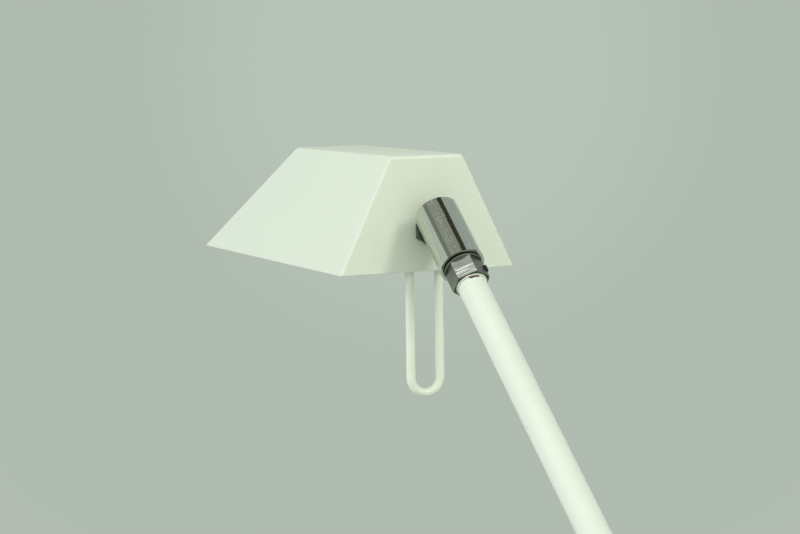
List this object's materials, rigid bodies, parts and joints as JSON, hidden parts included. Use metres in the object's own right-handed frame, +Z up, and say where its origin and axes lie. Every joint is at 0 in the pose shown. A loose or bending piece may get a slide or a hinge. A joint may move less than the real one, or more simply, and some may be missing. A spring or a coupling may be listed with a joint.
{
  "type": "arc floor lamp",
  "caption": "Floor lamp with a small hipped sheet-metal shade and loop handle on a tilting, swivelling chrome knuckle, on a bent tube arm that slides and turns in a stem on a weighted base.",
  "frame": {"origin": "centre of the base's underside, on the floor", "axes": "+Z up the stem; the arm and head reach along -X; Y runs across the shade, and XZ is the lamp's plane of symmetry"},
  "size_m": [0.8018, 0.26, 1.265],
  "materials": {
    "shade_enamel": "gloss off-white enamel",
    "arm_enamel": "gloss off-white enamel",
    "chrome_plate": "bright plating with fine scratches",
    "zinc_steel": "satin zinc plate",
    "black_steel": "oiled black",
    "brass": "satin",
    "cast_iron": "as cast, primed",
    "felt": "pressed felt",
    "rubber": "matt",
    "nylon": "natural nylon",
    "bakelite": "moulded black",
    "opal_glass": "opal"
  },
  "bodies": {
    "base": {"floor_pad": "felt", "base_weight": "cast_iron", "base_cover": "shade_enamel", "cord_inlet_bush": "rubber", "tie_rod": "zinc_steel", "tie_washer": "zinc_steel", "tie_nut": "zinc_steel", "stem_socket": "chrome_plate", "socket_screw_front": "black_steel", "socket_screw_back": "black_steel", "stem_tube": "arm_enamel", "collar_keeper_screw": "black_steel"},
    "collar": {"turning_collar": "chrome_plate", "clamp_pad": "brass"},
    "thumb": {"thumb_screw": "chrome_plate"},
    "arm": {"arm_tube": "arm_enamel", "arm_guide": "nylon", "arm_end_ring": "arm_enamel", "hex_coupling": "chrome_plate", "coupling_set_screw": "black_steel", "swivel_stud": "black_steel"},
    "swivel": {"pivot_sleeve": "chrome_plate", "knuckle_fork": "zinc_steel", "fork_grub_screw": "black_steel", "sleeve_end_bush": "black_steel", "swivel_spring_washer": "zinc_steel", "pivot_screw": "black_steel", "pivot_nut": "black_steel", "friction_washer_left": "nylon", "friction_washer_right": "nylon"},
    "head": {"shade": "shade_enamel", "tilt_tongue": "chrome_plate", "toothed_washer": "zinc_steel", "inner_lock_nut": "zinc_steel", "handle_bracket": "zinc_steel", "loop_handle": "shade_enamel", "handle_clamp": "zinc_steel", "handle_screw_left": "zinc_steel", "handle_screw_right": "zinc_steel", "lamp_holder_cap": "bakelite", "lamp_holder_body": "bakelite", "holder_screw_shell": "brass", "holder_contact": "brass", "bulb_cap": "zinc_steel", "bulb_glass": "opal_glass"}
  },
  "joints": [
    {"name": "stem_turn", "type": "hinge", "parent": "base", "child": "collar", "pos_m": [0, 0, 0.64], "axis": [0, 0, 1], "range_deg": [-170, 170]},
    {"name": "stem_height", "type": "slide", "parent": "collar", "child": "arm", "axis": [0, 0, 1], "range_m": [-0.035, 0.25]},
    {"name": "clamp_screw", "type": "hinge", "parent": "collar", "child": "thumb", "pos_m": [0, -0.025, 0.654], "axis": [0, -1, 0], "range_deg": [-360, 0]},
    {"name": "head_swivel", "type": "hinge", "parent": "arm", "child": "swivel", "pos_m": [-0.42656, 0, 1.2331], "axis": [0.7749, 0, -0.632], "range_deg": [-160, 160]},
    {"name": "head_tilt", "type": "hinge", "parent": "swivel", "child": "head", "pos_m": [-0.41416, 0, 1.22299], "axis": [0, 1, 0], "range_deg": [-50, 50]}
  ]
}
